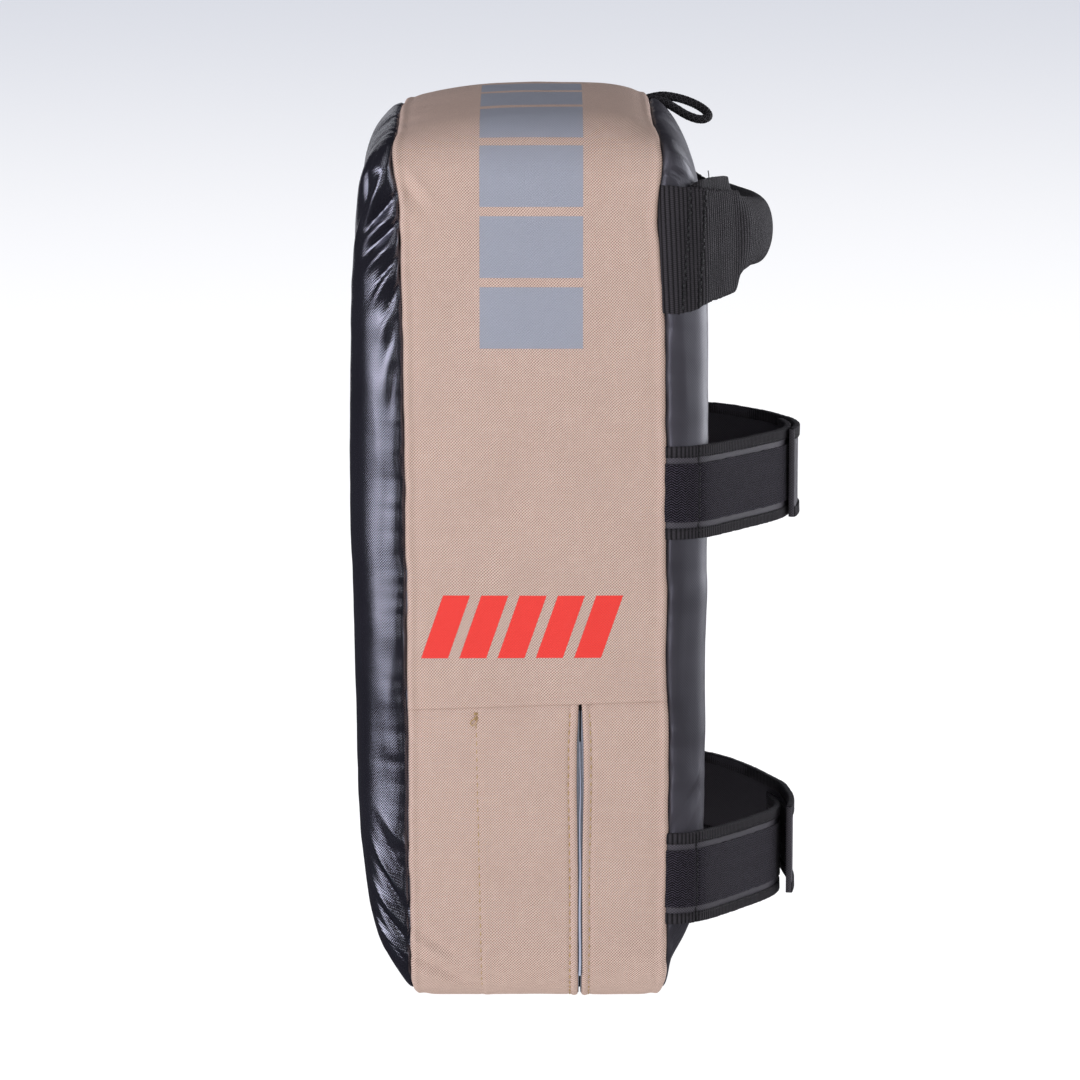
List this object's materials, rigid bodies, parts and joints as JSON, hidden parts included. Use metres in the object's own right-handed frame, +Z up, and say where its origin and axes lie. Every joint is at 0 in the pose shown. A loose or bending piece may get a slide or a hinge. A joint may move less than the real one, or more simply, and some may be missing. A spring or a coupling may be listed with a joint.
{
  "type": "kick shield",
  "caption": "Tall foam kick shield with a vinyl strike face, woven side band, hook-and-loop arm straps, a padded hand grip and a cord hanging loop.",
  "frame": {"origin": "centre of the flat bottom face of the side band, midway between its two seams", "axes": "+Z up the shield's height, strike face towards -Y, straps and grip towards +Y, width along X"},
  "size_m": [0.3285, 0.3114, 0.615],
  "materials": {
    "strike_vinyl": "glossy embossed vinyl",
    "back_vinyl": "semi-matt embossed vinyl",
    "side_weave": "coated basket-weave fabric",
    "zip_tape": "woven tape",
    "zip_coil": "moulded coil",
    "zip_metal": "black painted",
    "lining": "plain nylon",
    "foam_firm": "closed-cell foam",
    "foam_soft": "open-cell foam",
    "strap_webbing": "woven webbing",
    "strap_binding": "ribbed binding tape",
    "fastener_tape": "hook-and-loop pile",
    "grip_webbing": "ribbed webbing",
    "cord": "braided cord"
  },
  "bodies": {
    "shield": {"strike_cover": "strike_vinyl", "back_cover": "back_vinyl", "gusset_upper": "side_weave", "gusset_lower_front": "side_weave", "gusset_lower_back": "side_weave", "foam_strike_layer": "foam_firm", "foam_core_block": "foam_soft", "foam_back_layer": "foam_firm", "zip_tape_front": "zip_tape", "zip_tape_back": "zip_tape", "zip_coil_front": "zip_coil", "zip_coil_back": "zip_coil", "zip_guard_flap": "lining", "mid_anchor_near": "strap_webbing", "mid_anchor_far": "strap_webbing", "low_anchor_near": "strap_webbing", "low_anchor_far": "strap_webbing", "grip_webbing_near": "grip_webbing", "grip_webbing_far": "grip_webbing"},
    "mid_flap": {"mid_hook_band": "strap_webbing", "mid_hook_binding": "strap_binding", "mid_hook_tape": "fastener_tape"},
    "mid_underlap": {"mid_loop_band": "strap_webbing", "mid_loop_binding": "strap_binding", "mid_loop_tape": "fastener_tape"},
    "low_flap": {"low_hook_band": "strap_webbing", "low_hook_binding": "strap_binding", "low_hook_tape": "fastener_tape"},
    "low_underlap": {"low_loop_band": "strap_webbing", "low_loop_binding": "strap_binding", "low_loop_tape": "fastener_tape"},
    "grip": {"grip_cover": "grip_webbing", "grip_foam_core": "foam_soft"},
    "hanging_loop": {"hanging_cord": "cord"},
    "zip_slider": {"zip_slider": "zip_metal"},
    "zip_pull": {"zip_puller": "zip_metal"}
  },
  "joints": [
    {"name": "mid_flap_open", "type": "hinge", "parent": "shield", "child": "mid_flap", "pos_m": [-0.15231, 0.11137, 0.344], "axis": [0, 0, 1], "range_deg": [0, 95]},
    {"name": "mid_underlap_open", "type": "hinge", "parent": "shield", "child": "mid_underlap", "pos_m": [0.15231, 0.11137, 0.344], "axis": [0, 0, -1], "range_deg": [0, 57]},
    {"name": "low_flap_open", "type": "hinge", "parent": "shield", "child": "low_flap", "pos_m": [-0.15231, 0.11137, 0.088], "axis": [0, 0, 1], "range_deg": [0, 95]},
    {"name": "low_underlap_open", "type": "hinge", "parent": "shield", "child": "low_underlap", "pos_m": [0.15231, 0.11137, 0.088], "axis": [0, 0, -1], "range_deg": [0, 57]},
    {"name": "grip_swing", "type": "hinge", "parent": "shield", "child": "grip", "pos_m": [0, 0.109, 0.509], "axis": [1, 0, 0], "range_deg": [-12, 12], "stiffness_Nm_per_rad": 1.2},
    {"name": "loop_swing", "type": "hinge", "parent": "shield", "child": "hanging_loop", "pos_m": [0, 0.0835, 0.604], "axis": [1, 0, 0], "range_deg": [0, 40], "stiffness_Nm_per_rad": 0.05},
    {"name": "zip_travel", "type": "slide", "parent": "shield", "child": "zip_slider", "axis": [0, 0, -1], "range_m": [0, 0.125]},
    {"name": "zip_pull_flip", "type": "hinge", "parent": "zip_slider", "child": "zip_pull", "pos_m": [-0.1636, 0.0295, 0.1876], "axis": [0, 1, 0], "range_deg": [0, 165]}
  ],
  "couplings": [
    {"joint": "mid_underlap_open", "follows": "mid_flap_open", "ratio": 0.6},
    {"joint": "low_underlap_open", "follows": "low_flap_open", "ratio": 0.6}
  ]
}
